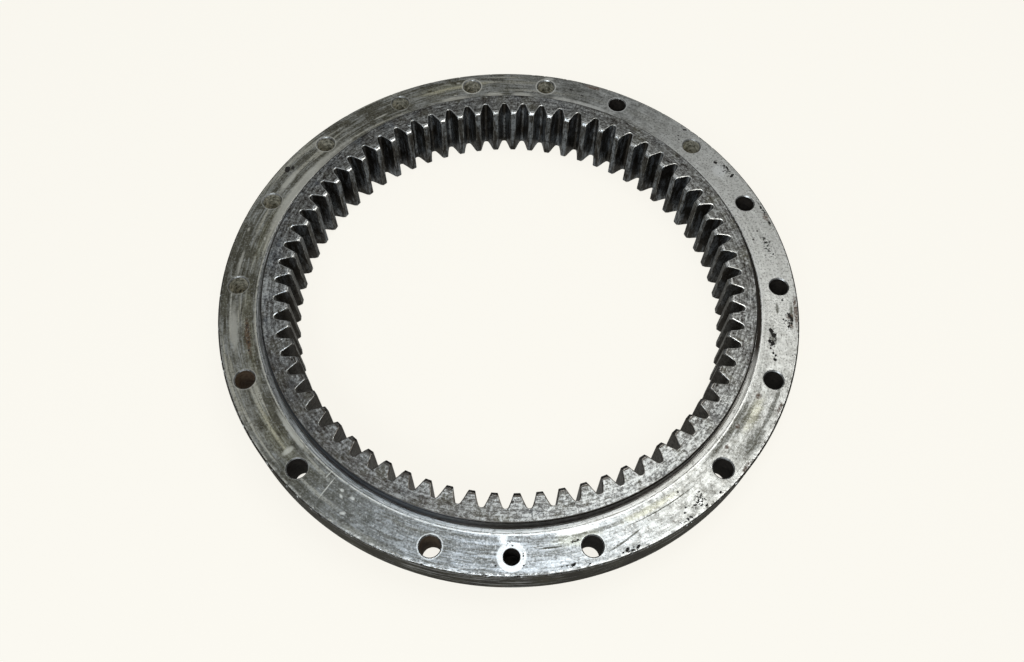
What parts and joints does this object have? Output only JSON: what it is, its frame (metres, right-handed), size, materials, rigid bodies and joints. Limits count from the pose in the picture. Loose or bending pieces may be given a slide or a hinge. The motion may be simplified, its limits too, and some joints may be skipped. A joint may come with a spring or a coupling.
{
  "type": "ring gear",
  "caption": "Flanged steel ring gear with straight internal teeth, raised locating registers and bolt holes, the outer ring of a planetary or slewing drive.",
  "frame": {"origin": "on the gear axis, at the lower end face of the toothed ring", "axes": "+Z along the gear axis, up through the face with the small hole; the small hole lies towards -Y"},
  "size_m": [0.4, 0.4, 0.0435],
  "materials": {
    "worn_steel": "turned steel, worn, with oily grime, scuffs and small corrosion pits"
  },
  "bodies": {
    "root": {"ring_gear": "worn_steel"}
  },
  "joints": []
}
